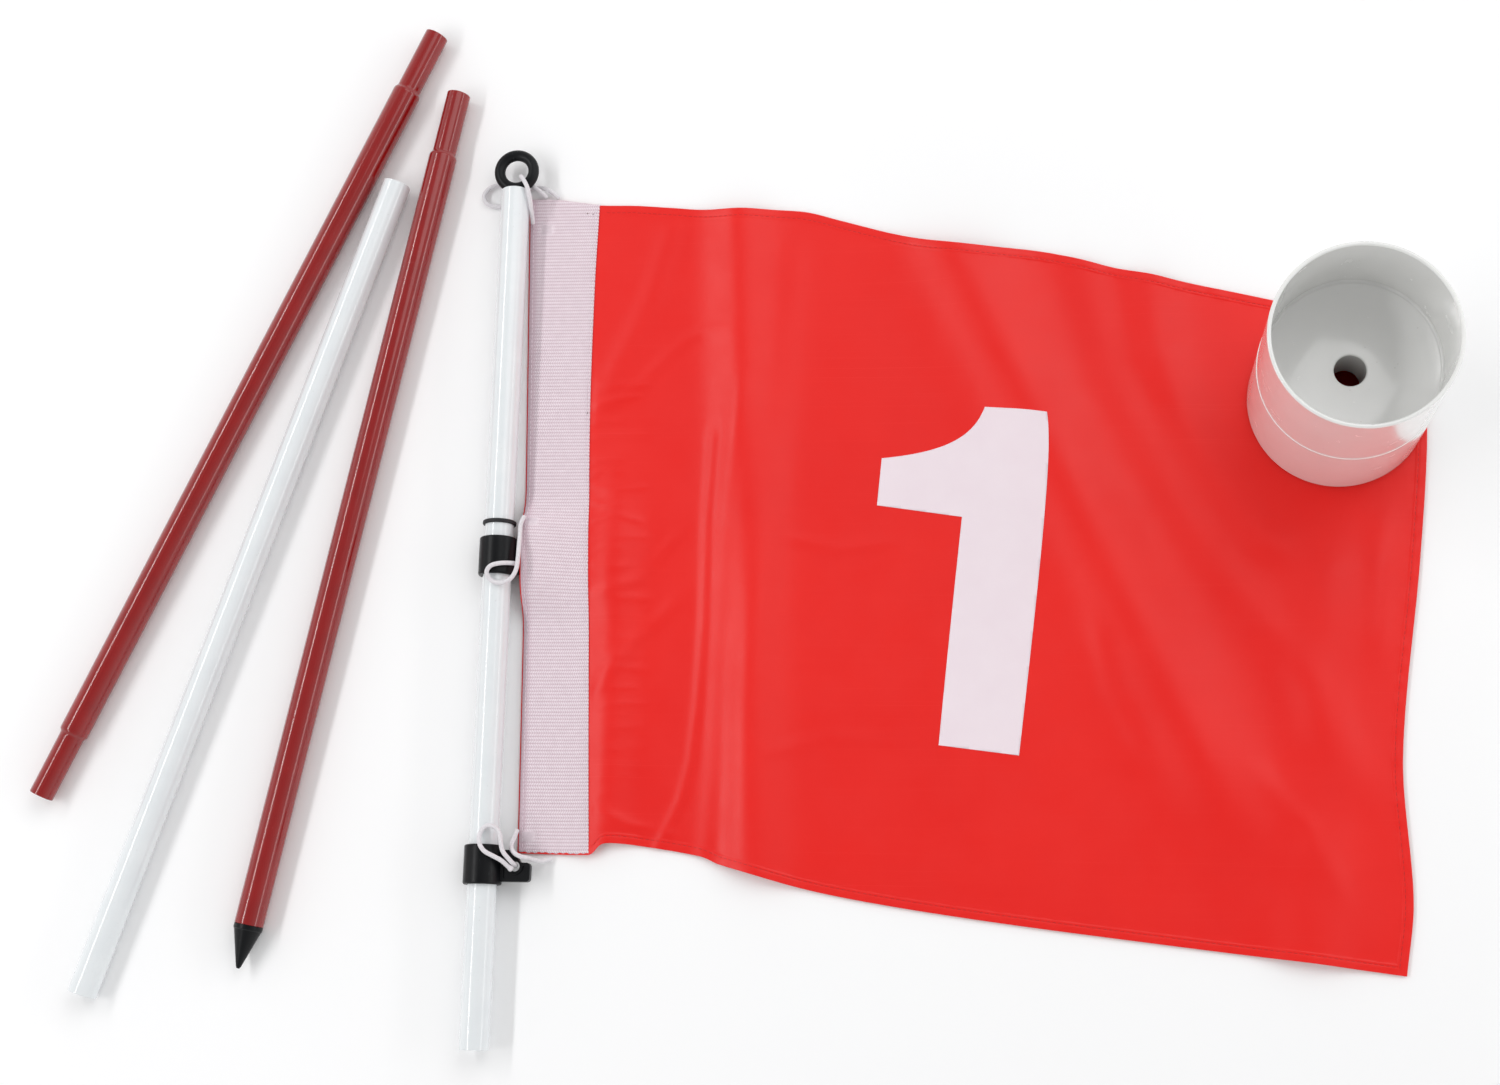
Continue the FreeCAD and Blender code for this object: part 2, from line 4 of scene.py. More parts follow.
import bmesh
import bpy
import numpy as np
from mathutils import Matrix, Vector


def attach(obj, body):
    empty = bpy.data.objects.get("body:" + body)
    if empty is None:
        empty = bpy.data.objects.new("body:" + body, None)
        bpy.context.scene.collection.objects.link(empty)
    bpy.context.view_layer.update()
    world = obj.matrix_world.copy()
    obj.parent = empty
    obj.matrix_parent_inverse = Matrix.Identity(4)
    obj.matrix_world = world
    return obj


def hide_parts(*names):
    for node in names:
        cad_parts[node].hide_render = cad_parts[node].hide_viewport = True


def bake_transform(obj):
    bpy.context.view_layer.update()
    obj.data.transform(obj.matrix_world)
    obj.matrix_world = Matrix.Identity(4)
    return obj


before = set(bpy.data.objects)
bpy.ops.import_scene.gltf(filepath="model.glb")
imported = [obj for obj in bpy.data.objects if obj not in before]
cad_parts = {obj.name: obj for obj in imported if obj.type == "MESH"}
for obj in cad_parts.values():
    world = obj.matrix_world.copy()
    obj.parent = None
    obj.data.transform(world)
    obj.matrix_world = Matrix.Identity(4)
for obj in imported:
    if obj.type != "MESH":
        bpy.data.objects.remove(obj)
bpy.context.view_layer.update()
random.seed(4)

mm = 0.001


# camera

camera = {
    "place": (184.5, -288.0, 1175.0),
    "turn": (10.466, 5.904, 1.21),
    "lens": 52.49,
    "shift": (-0.05, 0.0703),
    "sensor": 36.0,
    "near": 0.05,
    "far": 30.0,
}


def aimCamera():
    data = bpy.data.cameras.new("view")
    data.lens = camera["lens"]
    data.sensor_width = camera["sensor"]
    data.shift_x, data.shift_y = camera["shift"]
    data.clip_start = camera["near"]
    data.clip_end = camera["far"]
    eye = bpy.data.objects.new("view", data)
    eye.location = [v * mm for v in camera["place"]]
    eye.rotation_euler = [math.radians(a) for a in camera["turn"]]
    bpy.context.scene.collection.objects.link(eye)
    bpy.context.scene.camera = eye
    print("camera aimed")


# small helpers

def newMesh(name, points, faces):
    mesh = bpy.data.meshes.new(name)
    mesh.from_pydata([tuple(float(c) for c in p) for p in points], [], faces)
    mesh.validate()
    piece = bpy.data.objects.new(name, mesh)
    bpy.context.scene.collection.objects.link(piece)
    for face in mesh.polygons:
        face.use_smooth = True
    return piece


def gridFaces(across, along):
    # quads of a grid whose points run across first
    faces = []
    for j in range(along - 1):
        for i in range(across - 1):
            a = j * across + i
            faces.append((a, a + 1, a + 1 + across, a + across))
    return faces


def finishPiece(piece, material, *nodes):
    if nodes:
        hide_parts(*nodes)
    piece.data.materials.clear()
    piece.data.materials.append(material)
    return piece


def cast(piece, body, material, *nodes):
    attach(piece, body)
    return finishPiece(piece, material, *nodes)


def thicken(piece, thickness):
    skin = piece.modifiers.new("thick", "SOLIDIFY")
    skin.thickness = thickness * mm
    skin.offset = 1.0


def smoothThrough(points, t):
    # smooth curve through (t, value) points, with straight ends
    t = np.asarray(t, dtype=float)
    at = np.array([p[0] for p in points], dtype=float)
    value = np.array([p[1] for p in points], dtype=float)
    before = np.concatenate([[0], np.arange(len(at) - 1)])
    after = np.concatenate([np.arange(1, len(at)), [len(at) - 1]])
    slope = (value[after] - value[before]) / (at[after] - at[before])
    i = np.clip(np.searchsorted(at, t) - 1, 0, len(at) - 2)
    span = at[i + 1] - at[i]
    s = np.clip((t - at[i]) / span, 0.0, 1.0)
    near = value[i] * (1 + 2 * s) * (1 - s) ** 2 + slope[i] * span * s * (1 - s) ** 2
    far = value[i + 1] * s * s * (3 - 2 * s) - slope[i + 1] * span * s * s * (1 - s)
    below = np.minimum(t - at[0], 0.0) * slope[0]
    above = np.maximum(t - at[-1], 0.0) * slope[-1]
    return near + far + below + above


def ease(t):
    t = np.clip(t, 0.0, 1.0)
    return t * t * (3 - 2 * t)


def bezier(a, b, c, d, count):
    made = []
    for k in range(count):
        t = k / count
        u = 1 - t
        made.append(tuple(u ** 3 * a[n] + 3 * u * u * t * b[n] + 3 * u * t * t * c[n] + t ** 3 * d[n]
                          for n in (0, 1)))
    return made


# materials

class Shader:
    # a material's nodes, joined by name

    def __init__(self, name):
        self.material = bpy.data.materials.new(name)
        self.material.use_nodes = True
        self.tree = self.material.node_tree
        self.main = self.tree.nodes["Principled BSDF"]
        self.where = self.tree.nodes.new("ShaderNodeTexCoord").outputs["Object"]

    def set(self, **values):
        for key, value in values.items():
            self.main.inputs[key.replace("_", " ")].default_value = value
        return self

    def node(self, kind, **inputs):
        made = self.tree.nodes.new(kind)
        for key, value in inputs.items():
            self.feed(value, made.inputs[key.replace("_", " ")])
        return made

    def feed(self, value, socket):
        if isinstance(value, bpy.types.NodeSocket):
            self.tree.links.new(value, socket)
        else:
            socket.default_value = value

    def stretch(self, x, y, z, turn=0.0):
        turned = (0.0, 0.0, math.radians(turn))
        made = self.node("ShaderNodeMapping", Vector=self.where, Scale=(x, y, z), Rotation=turned)
        return made.outputs["Vector"]

    def noise(self, scale, detail=4.0, roughness=0.55, vector=None):
        made = self.node("ShaderNodeTexNoise", Scale=scale, Detail=detail, Roughness=roughness)
        self.feed(vector or self.where, made.inputs["Vector"])
        return made.outputs["Fac"]

    def specks(self, scale, low, high):
        made = self.node("ShaderNodeTexVoronoi", Scale=scale, Vector=self.where)
        return self.ramp(made.outputs["Distance"], 1.0, 0.0, low, high)

    def ramp(self, value, low, high, lowAt=0.0, highAt=1.0):
        made = self.node("ShaderNodeMapRange")
        made.clamp = True
        fed = {"Value": value, "From Min": lowAt, "From Max": highAt, "To Min": low, "To Max": high}
        for key, v in fed.items():
            self.feed(v, made.inputs[key])
        return made.outputs["Result"]

    def mixColour(self, factor, one, two):
        made = self.tree.nodes.new("ShaderNodeMix")
        made.data_type = "RGBA"
        self.feed(factor, made.inputs[0])
        self.feed(one, made.inputs[6])
        self.feed(two, made.inputs[7])
        return made.outputs[2]

    def math(self, operation, one, two=0.0):
        made = self.tree.nodes.new("ShaderNodeMath")
        made.operation = operation
        self.feed(one, made.inputs[0])
        self.feed(two, made.inputs[1])
        return made.outputs[0]

    def bump(self, height, distance, strength=1.0):
        made = self.node("ShaderNodeBump", Strength=strength, Distance=distance, Height=height)
        last = self.main.inputs["Normal"]
        if last.is_linked:
            self.tree.links.new(last.links[0].from_socket, made.inputs["Normal"])
        self.tree.links.new(made.outputs["Normal"], last)
        return self

    def wave(self, direction, scale):
        made = self.node("ShaderNodeTexWave", Scale=scale, Distortion=0.0, Vector=self.where)
        made.bands_direction = direction
        return made.outputs["Fac"]

    def colour(self, value):
        self.feed(value, self.main.inputs["Base Color"])
        return self

    def rough(self, value):
        self.feed(value, self.main.inputs["Roughness"])
        return self


def paintMaterial(name, colour, deep, worn, heading):
    # glossy paint on tube: slight orange peel, draw lines along the tube, rubs and specks of dust
    s = Shader(name)
    tint = s.ramp(s.noise(60.0, 6.0), 0.0, 1.0, 0.35, 0.7)
    lines = s.noise(1.0, 3.0, 0.6, s.stretch(40.0, 1400.0, 1400.0, -heading))
    base = s.mixColour(tint, colour, deep)
    lined = s.ramp(lines, 0.0, 1.0, 0.58, 0.72)
    rubs = s.math("MULTIPLY", lined, s.ramp(s.noise(24.0, 4.0), 0.0, 0.5, 0.55, 0.75))
    base = s.mixColour(rubs, base, worn)
    s.colour(s.mixColour(s.math("MULTIPLY", s.specks(210.0, 0.05, 0.11), 0.35), base, worn))
    smear = s.ramp(s.noise(35.0, 5.0), 0.13, 0.24, 0.35, 0.75)
    s.rough(s.math("ADD", smear, s.math("MULTIPLY", rubs, 0.3)))
    s.set(IOR=1.5, Specular_IOR_Level=0.45, Coat_Weight=0.45, Coat_Roughness=0.06)
    s.bump(s.noise(900.0, 2.0), 0.00002, 0.4)
    s.bump(s.noise(150.0, 3.0), 0.00005, 0.3)
    s.bump(lines, 0.00001, 0.3)
    return s.material


def plasticMaterial():
    # moulded plastic with a fine spark texture, scuffs and handling marks
    s = Shader("blackPlastic")
    rub = s.ramp(s.noise(45.0, 7.0, 0.65), 0.0, 1.0, 0.45, 0.75)
    base = s.mixColour(rub, (0.0025, 0.003, 0.004, 1), (0.0055, 0.0065, 0.008, 1))
    scuff = s.ramp(s.noise(1.0, 4.0, 0.7, s.stretch(900.0, 160.0, 400.0, 30.0)), 0.0, 0.6, 0.64, 0.74)
    s.colour(s.mixColour(scuff, base, (0.035, 0.038, 0.040, 1)))
    s.rough(s.ramp(s.noise(220.0, 4.0), 0.30, 0.42, 0.3, 0.8))
    s.set(IOR=1.45, Specular_IOR_Level=0.26)
    s.bump(s.noise(2600.0, 2.0), 0.00003, 0.5)
    s.bump(s.noise(180.0, 3.0), 0.00005, 0.25)
    return s.material


def rubberMaterial():
    s = Shader("stopRubber")
    dust = s.ramp(s.noise(300.0, 6.0), 0.0, 0.6, 0.5, 0.9)
    s.colour(s.mixColour(dust, (0.012, 0.012, 0.014, 1), (0.04, 0.04, 0.042, 1)))
    s.rough(s.ramp(s.noise(500.0, 3.0), 0.5, 0.65, 0.3, 0.7))
    s.set(IOR=1.5, Specular_IOR_Level=0.4)
    s.bump(s.noise(1500.0, 3.0), 0.00004, 0.5)
    return s.material


def cupMaterial():
    # glossy white plastic with flow marks from the mould and fine scratches round the hole
    s = Shader("cupPlastic")
    mottle = s.ramp(s.noise(22.0, 5.0), 0.0, 1.0, 0.3, 0.75)
    base = s.mixColour(mottle, (0.80, 0.80, 0.785, 1), (0.76, 0.76, 0.745, 1))
    drawn = s.noise(1.0, 4.0, 0.7, s.stretch(60.0, 900.0, 500.0, 24.0))
    scratch = s.ramp(drawn, 0.0, 0.35, 0.66, 0.74)
    base = s.mixColour(scratch, base, (0.76, 0.76, 0.75, 1))
    s.colour(s.mixColour(s.math("MULTIPLY", s.specks(120.0, 0.03, 0.06), 0.3), base, (0.45, 0.43, 0.40, 1)))
    smear = s.ramp(s.noise(70.0, 6.0), 0.20, 0.30, 0.35, 0.8)
    s.rough(s.math("ADD", smear, s.math("MULTIPLY", scratch, 0.06)))
    s.set(IOR=1.55, Specular_IOR_Level=0.7, Coat_Weight=0.8, Coat_Roughness=0.1)
    s.bump(s.noise(90.0, 3.0), 0.00008, 0.3)
    s.bump(s.noise(700.0, 2.0), 0.00001, 0.3)
    return s.material


clothThreads = 700.0  # wave scale of the nylon's plain weave


def weaveHeight(s):
    one = s.wave("X", clothThreads)
    two = s.wave("Y", clothThreads)
    return s.math("ABSOLUTE", s.math("SUBTRACT", one, two))


def nylonMaterial():
    # thin woven nylon: fine plain weave, uneven dye, a few pulled threads, slight sheen
    s = Shader("flagNylon")
    dye = s.ramp(s.noise(7.0, 6.0, 0.6), 0.0, 1.0, 0.3, 0.75)
    base = s.mixColour(dye, (0.80, 0.0075, 0.0045, 1), (0.86, 0.0125, 0.0070, 1))
    pulled = s.ramp(s.noise(1.0, 2.0, 0.5, s.stretch(6.0, 1500.0, 1.0)), 0.0, 0.35, 0.63, 0.72)
    base = s.mixColour(pulled, base, (0.88, 0.030, 0.022, 1))
    weave = weaveHeight(s)
    s.colour(s.mixColour(s.math("MULTIPLY", weave, 0.15), base, (0.62, 0.006, 0.005, 1)))
    s.rough(s.ramp(s.noise(40.0, 4.0), 0.34, 0.46, 0.3, 0.8))
    s.set(IOR=1.5, Specular_IOR_Level=0.40, Sheen_Weight=0.05, Sheen_Roughness=0.4)
    s.bump(weave, 0.00004, 0.3)
    s.bump(s.noise(75.0, 5.0), 0.0003, 0.16)
    s.bump(s.noise(1.0, 3.0, 0.5, s.stretch(26.0, 9.0, 10.0, 12.0)), 0.0012, 0.14)
    return s.material


def tapeMaterial():
    s = Shader("tapeYarn")
    tone = s.ramp(s.noise(260.0, 5.0), 0.0, 1.0, 0.3, 0.75)
    base = s.mixColour(tone, (0.90, 0.80, 0.855, 1), (0.82, 0.715, 0.77, 1))
    soil = s.ramp(s.noise(18.0, 6.0, 0.65), 0.0, 0.3, 0.55, 0.8)
    base = s.mixColour(soil, base, (0.74, 0.63, 0.69, 1))
    # painted shade: the low places between the tape's ribs and yarns are darkened to a grey pink, driven by
    # the weave's height kept in the crest attribute
    crest = s.tree.nodes.new("ShaderNodeAttribute")
    crest.attribute_name = "crest"
    paintedGapShade = s.ramp(crest.outputs["Fac"], 1.0, 0.0, 0.06, 0.62)
    s.colour(s.mixColour(paintedGapShade, base, (0.58, 0.43, 0.49, 1)))
    s.rough(s.ramp(s.noise(900.0, 3.0), 0.62, 0.82, 0.3, 0.7))
    s.set(IOR=1.5, Specular_IOR_Level=0.3, Sheen_Weight=0.15, Sheen_Roughness=0.5)
    s.bump(s.noise(1.0, 3.0, 0.6, s.stretch(900.0, 4200.0, 900.0)), 0.00005, 0.5)
    s.bump(s.noise(2600.0, 3.0), 0.00004, 0.4)
    return s.material


def numeralMaterial():
    # white print: the cloth's weave shows through it, and the ink is a little uneven
    s = Shader("numeralInk")
    tone = s.ramp(s.noise(50.0, 5.0), 0.0, 1.0, 0.3, 0.75)
    base = s.mixColour(tone, (0.865, 0.765, 0.815, 1), (0.845, 0.735, 0.79, 1))
    weave = weaveHeight(s)
    s.colour(s.mixColour(s.math("MULTIPLY", weave, 0.12), base, (0.80, 0.56, 0.60, 1)))
    s.rough(s.ramp(s.noise(60.0, 4.0), 0.48, 0.62, 0.3, 0.8))
    s.set(IOR=1.45, Specular_IOR_Level=0.3)
    s.bump(weave, 0.00004, 0.3)
    s.bump(s.noise(75.0, 5.0), 0.0003, 0.12)
    return s.material


def yarnMaterial(name, colour, shade):
    s = Shader(name)
    tone = s.ramp(s.noise(900.0, 4.0), 0.0, 1.0, 0.3, 0.8)
    s.colour(s.mixColour(tone, colour, shade))
    s.rough(s.ramp(s.noise(1200.0, 2.0), 0.6, 0.8, 0.3, 0.7))
    s.set(IOR=1.5, Specular_IOR_Level=0.3, Sheen_Weight=0.15)
    s.bump(s.noise(3500.0, 3.0), 0.00004, 0.5)
    return s.material


# cords: routes in millimetres, from the header to the eye and to the clips

cord = {
    "radius": 1.27,
    "strands": 8,
    "pitch": 7.0,
    "relief": 0.13,
    "step": 0.16,
    "around": 32,
    "bead": 0.45,
    "beadAt": 1.3,
    "beadLong": 1.1,
    "roundEnd": 0.7,
}

routes = {
    "top_cord": [
        (-101.2, 191.2, 1.6), (-106.0, 194.8, 3.4), (-110.8, 197.2, 3.2), (-116.2, 197.6, 1.4),
        (-121.6, 197.2, 1.25), (-129.0, 199.2, 1.25), (-136.8, 200.4, 1.5), (-143.2, 198.2, 2.0),
        (-146.4, 192.8, 2.4), (-143.9, 188.0, 2.0), (-138.6, 186.6, 1.4), (-132.0, 186.8, 1.25),
        (-125.0, 186.0, 1.25),
    ],
    "eye_cord": [
        (-108.4, 191.6, 1.6), (-111.6, 194.0, 5.0), (-115.2, 196.2, 6.4), (-118.6, 198.4, 5.6),
        (-121.8, 200.8, 8.0), (-121.8, 200.4, 13.6), (-119.2, 197.0, 17.2), (-116.4, 192.0, 17.4),
        (-115.2, 186.6, 15.6), (-115.0, 181.2, 12.2), (-115.0, 177.0, 8.4), (-115.3, 174.4, 4.8),
    ],
    "upper_clip_cord": [
        (-110.6, 0.2, 11.2), (-112.4, -4.4, 13.0), (-111.6, -10.2, 15.2), (-111.4, -17.4, 17.4),
        (-111.2, -25.4, 19.0), (-111.6, -33.2, 20.0), (-115.2, -38.6, 20.0), (-121.0, -40.2, 19.9),
        (-126.0, -38.6, 20.3), (-128.4, -34.6, 22.0), (-126.0, -30.6, 22.8), (-120.6, -29.2, 22.4),
        (-115.8, -28.6, 20.0), (-112.6, -28.2, 16.2),
    ],
    "lower_clip_cord": [
        (-106.5, -194.8, 10.4), (-106.6, -194.5, 14.8), (-109.0, -191.6, 18.0), (-112.2, -187.8, 19.8),
        (-113.2, -182.4, 20.2), (-114.0, -177.4, 20.0), (-117.6, -174.0, 20.2), (-122.2, -174.2, 20.4),
        (-124.8, -178.2, 20.8), (-124.6, -183.6, 22.8), (-121.6, -188.2, 22.8), (-116.8, -190.4, 22.2),
        (-112.2, -192.8, 19.2), (-109.8, -195.4, 16.2), (-107.4, -197.4, 14.1),
    ],
    "foot_cord": [
        (-108.2, -174.4, 4.2), (-109.2, -179.6, 6.6), (-109.4, -183.4, 12.4), (-107.8, -187.4, 16.0),
        (-103.8, -190.2, 15.4), (-99.8, -190.6, 11.8), (-96.4, -191.8, 7.2), (-92.4, -191.8, 3.2),
        (-88.8, -189.8, 1.4),
    ],
}

# cords that give with a sliding clip: the clip's body, where the give starts and where it ends
follows = {
    "upper_clip_cord": ("upper_swivel", (-111.0, -5.0, 15.0), (-111.0, -20.0, 15.0)),
    "lower_clip_cord": ("lower_swivel", (-113.0, -150.0, 18.0), (-113.0, -170.0, 18.0)),
    "foot_cord": ("lower_swivel", (-105.0, -186.0, 3.0), (-105.0, -186.0, 11.0)),
}


def followRoute(name, points):
    # evenly spaced points of the smooth line that a route's points control
    curve = bpy.data.curves.new(name, "CURVE")
    curve.dimensions = "3D"
    spline = curve.splines.new("NURBS")
    spline.points.add(len(points) - 1)
    for point, place in zip(spline.points, points):
        point.co = [v * mm for v in place] + [1.0]
    spline.order_u = 3
    spline.use_endpoint_u = True
    spline.resolution_u = 24
    holder = bpy.data.objects.new(name, curve)
    line = bpy.data.meshes.new_from_object(holder)
    raw = [v.co.copy() for v in line.vertices]
    bpy.data.objects.remove(holder)
    bpy.data.meshes.remove(line)
    length = sum((b - a).length for a, b in zip(raw, raw[1:]))
    count = int(length / (cord["step"] * mm))
    spaced = [raw[0]]
    travelled = 0.0
    target = length / count
    for a, b in zip(raw, raw[1:]):
        span = (b - a).length
        while span > 0 and travelled + span >= target * len(spaced) and len(spaced) < count:
            spaced.append(a.lerp(b, (target * len(spaced) - travelled) / span))
        travelled += span
    spaced.append(raw[-1])
    return spaced, length


def braidHeight(angle, along):
    # two sets of strands that cross over and under each other
    strands = cord["strands"]
    turn = along / cord["pitch"] * 2 * math.pi
    one = (angle + turn) * strands / 2
    two = (angle - turn) * strands / 2
    left = abs(math.cos(one))
    right = abs(math.cos(two))
    over = 0.5 + 0.5 * math.cos(one + two) * math.cos(one - two)
    return max(left * (0.6 + 0.4 * over), right * (1.0 - 0.4 * over))


def braidedCord(name, material):
    path, length = followRoute(name, routes[name])
    around = cord["around"]
    points = []
    side = Vector((0, 0, 1))
    for k, here in enumerate(path):
        ahead = (path[min(k + 1, len(path) - 1)] - path[max(k - 1, 0)]).normalized()
        side = (side - ahead * side.dot(ahead)).normalized()
        other = ahead.cross(side)
        along = k * length / (len(path) - 1) / mm
        close = min(along, length / mm - along) / cord["roundEnd"]
        shrink = math.sqrt(max(0.02, 1 - max(0.0, 1 - close) ** 2))
        swell = 0.0
        if name == "lower_clip_cord":
            # melted bead at the free end
            fromEnd = length / mm - along - cord["beadAt"]
            swell = cord["bead"] * math.exp(-(fromEnd / cord["beadLong"]) ** 2)
        for j in range(around):
            angle = 2 * math.pi * j / around
            lift = (braidHeight(angle, along) - 1.0) * cord["relief"] * (1 - swell)
            radius = (cord["radius"] + lift + swell) * shrink * mm
            points.append(here + (side * math.cos(angle) + other * math.sin(angle)) * radius)
    faces = []
    for k in range(len(path) - 1):
        for j in range(around):
            a = k * around + j
            b = k * around + (j + 1) % around
            faces.append((a, b, b + around, a + around))
    faces.append(tuple(reversed(range(around))))
    faces.append(tuple(range(len(points) - around, len(points))))
    piece = newMesh(name + "_braid", points, faces)
    if name in follows:
        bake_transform(piece)
        finishPiece(piece, material, name)
    else:
        cast(piece, "flag", material, name)
    return length


def layCords():
    material = yarnMaterial("cordBraid", (0.80, 0.775, 0.80, 1), (0.66, 0.635, 0.665, 1))
    for name in routes:
        print(name, "is", round(braidedCord(name, material) / mm, 1), "mm long")


# flag cloth

cloth = {
    "hoist": [(-187.2, -108.3), (-20.0, -112.2), (188.0, -118.8)],
    "tape": [(-187.0, -68.3), (-130.0, -70.8), (-20.0, -75.2), (60.0, -78.2), (140.0, -78.6),
             (188.0, -77.6)],
    "fly": [(-245.0, 366.4), (-206.0, 370.8), (-132.0, 367.3), (-24.5, 379.0), (42.0, 384.5),
            (103.6, 384.9)],
    "top": [(-119.0, 190.4), (-108.0, 190.3), (-98.0, 189.4), (-88.0, 187.8), (-77.0, 186.4),
            (-53.5, 185.6), (-7.1, 181.4), (39.1, 180.4), (62.1, 174.5), (107.7, 161.2), (130.3, 157.2),
            (175.2, 153.8), (219.6, 142.6), (285.4, 127.6), (385.0, 103.6)],
    "low": [(-109.0, -187.2), (-72.0, -187.9), (-66.5, -187.4), (-61.5, -182.4), (-55.4, -181.4),
            (-40.0, -182.6), (-6.8, -187.9), (4.1, -192.3), (47.8, -204.2), (91.1, -212.3),
            (155.3, -221.3), (239.4, -231.1), (321.9, -240.3), (366.0, -245.6)],
    "hoistFrom": -187.0,
    "hoistLong": 376.0,
    "flyFrom": -245.0,
    "flyLong": 348.6,
    "across": 490.0,
    "up": 360.0,
    "flySide": 480.0,
    "flyUp": 350.0,
    "seamFrom": 0.09,
    "gap": 0.2,
    "lift": 0.5,
    "thick": 0.35,
    "step": 1.5,
    "edgeStep": 0.35,
    "hemWide": 5.4,
    "hemThick": 0.3,
    "hemSlope": 0.7,
    "topFade": (40.0, 150.0),
    "seamInset": 1.3,
    "grooveDeep": 0.16,
    "grooveWide": 0.55,
    "gather": 0.13,
    "gatherWide": 2.4,
}

# where the cup stands, and how far from its wall folds, creases and hems start and reach full height
cup = {
    "x": 337.25,
    "y": 65.6,
    "radius": 48.5,
    "folds": (6.0, 45.0),
    "creases": (2.0, 8.0),
    "hems": (-3.0, 6.0),
    "stitches": 3.0,
}
# the upper clip's ear under the cloth
ear = {"x": -113.0, "y": -23.4, "wide": 32.0, "long": 27.0, "rise": 11.0}

# soft folds: route, width, height, and how far each fades beyond its ends
folds = [
    ([(4.0, 186.0), (24.0, -195.0)], 17.0, 6.0, 60.0),
    ([(-60.0, -20.0), (-60.0, -184.0)], 13.0, 4.2, 40.0),
    ([(130.0, 150.0), (262.0, -130.0)], 24.0, 8.0, 60.0),
    ([(330.0, -60.0), (318.0, -236.0)], 20.0, 5.0, 60.0),
    ([(236.0, 138.0), (240.0, 96.0), (262.0, 50.0), (300.0, -10.0)], 14.0, 3.4, 14.0),
    ([(362.0, 20.0), (356.0, -60.0)], 9.0, 2.4, 24.0),
]

# fine ridges and dents of the cloth: route, width, height
creases = [
    ([(-31.0, -184.0), (-25.0, -171.0), (-19.0, -157.4), (-13.9, -135.4), (-11.1, -102.3),
      (-9.2, -57.6), (-9.3, -0.8), (-7.3, 45.0)], 3.0, 0.7),
    ([(-4.1, -184.0), (-1.8, -135.0), (-1.6, -69.0), (0.5, 10.6), (7.9, 68.0)], 5.5, 0.7),
    ([(36.0, 140.0), (31.0, 56.0), (24.4, -24.0), (15.4, -102.0), (15.0, -184.0)], 9.0, 1.0),
    ([(-68.0, 67.5), (-61.0, 70.0), (-49.5, 79.0), (-41.0, 89.0), (-33.0, 97.0), (-24.0, 105.0),
      (-16.2, 109.0), (-11.0, 109.5)], 4.2, 0.55),
    ([(-64.0, 86.0), (-55.0, 106.0), (-45.5, 128.0), (-36.0, 164.0)], 8.0, 1.1),
    ([(200.0, 146.0), (214.0, 83.0), (235.6, 37.6), (257.0, -2.0), (288.0, -46.0), (324.0, -101.0),
      (340.0, -133.0)],
     13.0, 1.7),
    ([(-62.0, -164.0), (-46.0, -171.0), (-24.0, -176.0)], 3.0, 0.55),
    ([(-64.0, -92.0), (-52.0, -74.0), (-30.0, -52.0)], 4.5, 0.7),
    ([(-62.0, -40.0), (-46.0, -34.0), (-30.0, -14.0)], 3.6, 0.5),
    ([(40.0, -128.0), (62.0, -122.0), (86.0, -124.0)], 4.5, 0.35),
    ([(44.0, -12.0), (66.0, -17.0), (86.0, -14.0)], 3.5, 0.3),
    ([(208.0, -70.0), (214.0, -96.0), (226.0, -120.0)], 6.0, 0.6),
    ([(300.0, -150.0), (318.0, -172.0), (330.0, -196.0)], 7.0, 0.7),
]


def farFromCup(x, y):
    return np.hypot(x - cup["x"], y - cup["y"]) - cup["radius"]


def clearOfCup(x, y, what):
    # 0 beside the cup's wall, rising to 1 away from it
    start, reach = cup[what]
    return ease((farFromCup(x, y) - start) / reach)


def farFrom(x, y, route):
    # distance to a route
    best = np.full(x.shape, 1e9)
    for a, b in zip(route, route[1:]):
        runX = b[0] - a[0]
        runY = b[1] - a[1]
        run = runX * runX + runY * runY
        along = np.clip(((x - a[0]) * runX + (y - a[1]) * runY) / run, 0.0, 1.0)
        best = np.minimum(best, np.hypot(x - a[0] - along * runX, y - a[1] - along * runY))
    return best


def softFold(x, y, route, wide, high, tail):
    # a rounded ridge along a route, which dies away past its ends
    high = np.full(x.shape, high)
    ends = ((route[0], route[1]), (route[-1], route[-2]))
    for end, inner in ends:
        run = math.hypot(end[0] - inner[0], end[1] - inner[1])
        past = ((x - end[0]) * (end[0] - inner[0]) + (y - end[1]) * (end[1] - inner[1])) / run
        high = high * np.exp(-(np.maximum(past, 0.0) / tail) ** 2)
    longer = []
    for end, inner in ends:
        reach = 3.0 * tail / math.hypot(end[0] - inner[0], end[1] - inner[1])
        longer.append((end[0] + (end[0] - inner[0]) * reach, end[1] + (end[1] - inner[1]) * reach))
    whole = [longer[0]] + list(route) + [longer[1]]
    return high * np.exp(-(farFrom(x, y, whole) / wide) ** 2)


def clothHeight(x, y):
    # underside of the cloth over the table: long folds, and the rise over the upper clip's ear
    high = np.zeros(x.shape)
    for route, wide, rise, tail in folds:
        high = high + softFold(x, y, route, wide, rise, tail)
    high = high * clearOfCup(x, y, "folds")
    overEar = np.exp(-((y - ear["y"]) / ear["long"]) ** 4) * np.exp(-((x - ear["x"]) / ear["wide"]) ** 2)
    return cloth["gap"] + high + ear["rise"] * overEar


# short gathers where the cloth is sewn to the tape; strongest between the two middle heights
pucker = {
    "top": 92.0,
    "foot": -176.0,
    "strong": (-50.0, 84.0),
    "offTape": (0.5, 3.0),
    "reach": (9.0, 30.0),
    "bend": (-3.5, 4.5),
    "wide": (1.2, 2.6),
    "high": (0.18, 0.42),
    "gap": (5.5, 12.0),
}


